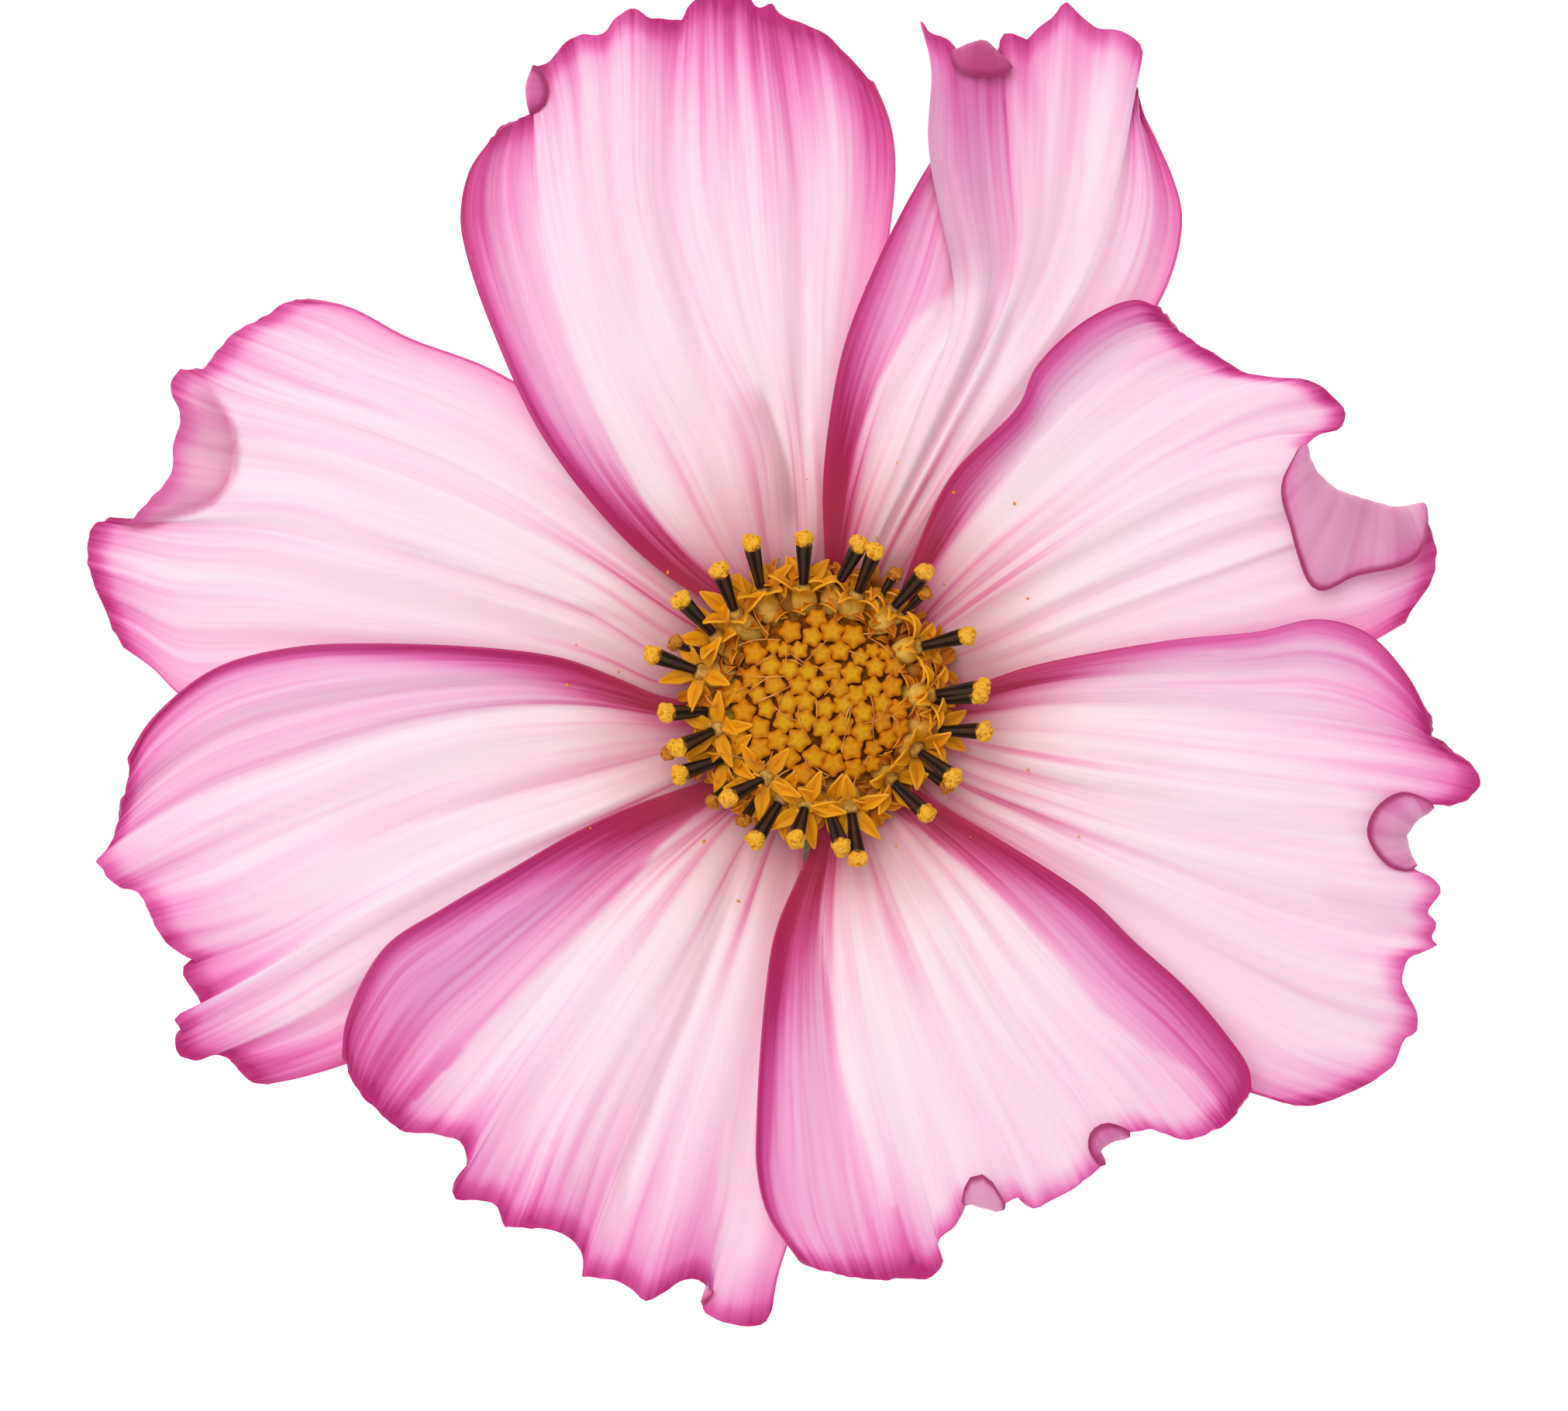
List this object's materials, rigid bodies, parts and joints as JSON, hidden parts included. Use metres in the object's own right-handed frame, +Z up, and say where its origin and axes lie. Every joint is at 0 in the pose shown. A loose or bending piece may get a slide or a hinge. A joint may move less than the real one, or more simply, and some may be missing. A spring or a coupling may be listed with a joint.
{
  "type": "cosmos bloom",
  "caption": "Open cosmos bloom with pale pink, magenta-edged toothed petals round a golden disc, cut close under the head and lying face up on its green bracts.",
  "frame": {"origin": "on the surface that the bloom lies on, below the middle of its outline seen from above", "axes": "+Z up, out of the bloom's face; +Y towards the topmost petal of the picture, +X to the picture's right"},
  "size_m": [0.08, 0.0764, 0.0154],
  "materials": {
    "petal": "soft satin, pale pink with magenta streaked edges",
    "disc": "matte golden buds and lobes, red-brown between them, dark brown anther columns, yellow-orange pollen",
    "inner_bract": "satin, brownish green with a pale margin",
    "outer_bract": "satin leaf green",
    "stem": "satin, finely ribbed green, paler at the cut"
  },
  "bodies": {
    "root": {"petal_top": "petal", "petal_upper_right": "petal", "petal_right_upper": "petal", "petal_right": "petal", "petal_lower_right": "petal", "petal_lower_left": "petal", "petal_left_lower": "petal", "petal_left_upper": "petal", "disc": "disc", "inner_bract_1": "inner_bract", "inner_bract_2": "inner_bract", "inner_bract_3": "inner_bract", "inner_bract_4": "inner_bract", "inner_bract_5": "inner_bract", "inner_bract_6": "inner_bract", "inner_bract_7": "inner_bract", "inner_bract_8": "inner_bract", "outer_bract_1": "outer_bract", "outer_bract_2": "outer_bract", "outer_bract_3": "outer_bract", "outer_bract_4": "outer_bract", "outer_bract_5": "outer_bract", "outer_bract_6": "outer_bract", "outer_bract_7": "outer_bract", "outer_bract_8": "outer_bract", "stem_and_receptacle": "stem"}
  },
  "joints": []
}
